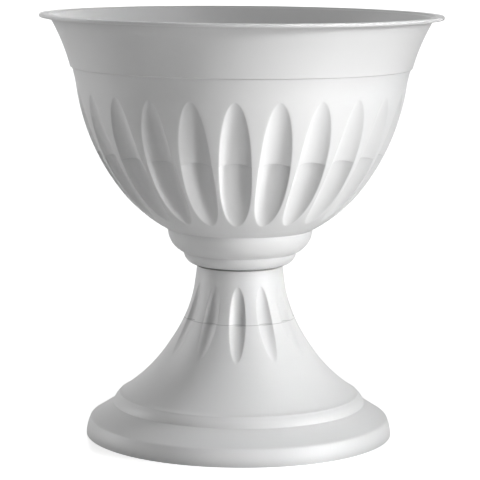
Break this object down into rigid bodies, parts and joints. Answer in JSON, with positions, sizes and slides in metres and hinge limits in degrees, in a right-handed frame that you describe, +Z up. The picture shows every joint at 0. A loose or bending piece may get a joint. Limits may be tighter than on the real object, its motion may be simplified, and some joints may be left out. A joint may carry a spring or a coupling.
{
  "type": "urn planter",
  "caption": "Classical urn planter: fluted bowl with a flat lip that lifts off a fluted bell-shaped pedestal on a stepped round foot, with a push-in drain stopper",
  "frame": {"origin": "centre of the foot ring on the floor", "axes": "+Z up along the urn's axis of symmetry; a flute of the bowl and one of the pedestal face -Y"},
  "size_m": [0.4, 0.3998, 0.4214],
  "materials": {
    "pedestal_white": "moulded white polypropylene, satin",
    "bowl_white": "moulded white polypropylene, satin",
    "stopper_white": "moulded natural white polyethylene, satin"
  },
  "bodies": {
    "pedestal": {"pedestal": "pedestal_white"},
    "bowl": {"bowl": "bowl_white"},
    "drain_stopper": {"drain_stopper": "stopper_white"}
  },
  "joints": [
    {"name": "bowl_lift", "type": "slide", "parent": "pedestal", "child": "bowl", "axis": [0, 0, 1], "range_m": [0, 0.04]},
    {"name": "stopper_lift", "type": "slide", "parent": "bowl", "child": "drain_stopper", "axis": [0, 0, 1], "range_m": [0, 0.02]}
  ]
}
